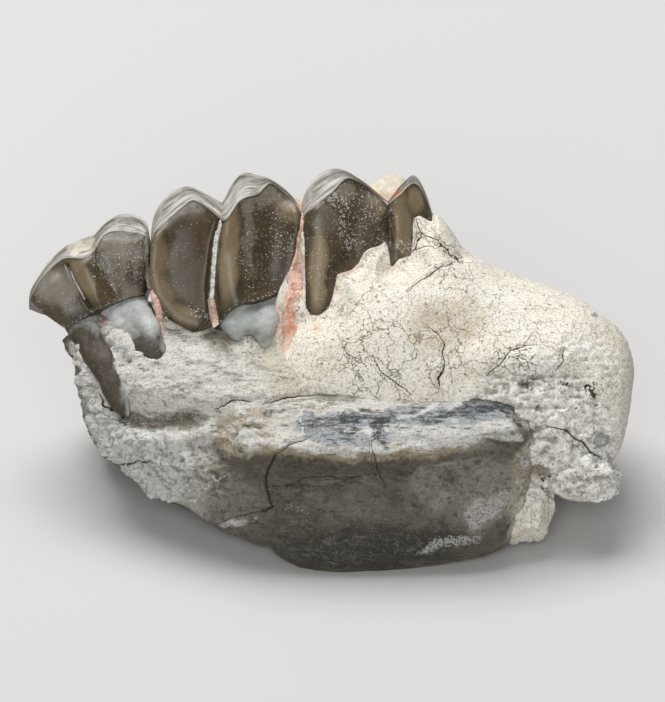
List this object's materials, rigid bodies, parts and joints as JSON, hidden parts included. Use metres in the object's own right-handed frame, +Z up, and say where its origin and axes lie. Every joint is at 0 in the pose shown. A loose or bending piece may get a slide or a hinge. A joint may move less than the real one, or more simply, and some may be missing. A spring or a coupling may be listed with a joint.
{
  "type": "fossil oreodont upper jaw",
  "caption": "Fossil piece of an upper jaw with brown enamelled cheek teeth, grey bone with the start of the cheek arch, and cream siltstone still filling its hollows.",
  "frame": {"origin": "under the middle of the whole piece, on the surface that it rests on", "axes": "+X along the tooth row towards the back of the jaw, -Y towards the cheek side that shows, +Z up"},
  "size_m": [0.0696, 0.0404, 0.0347],
  "materials": {
    "bone": "mineralised bone, grey-brown, satin to matt",
    "siltstone": "cream siltstone, matt and grainy",
    "enamel": "fossil enamel, dark olive brown, glossy"
  },
  "bodies": {
    "root": {"maxilla": "bone", "zygomatic_arch": "bone", "sediment_block": "siltstone", "sediment_knob": "siltstone", "sediment_foot": "siltstone", "molar_first": "enamel", "molar_second": "enamel", "molar_third": "enamel"}
  },
  "joints": []
}
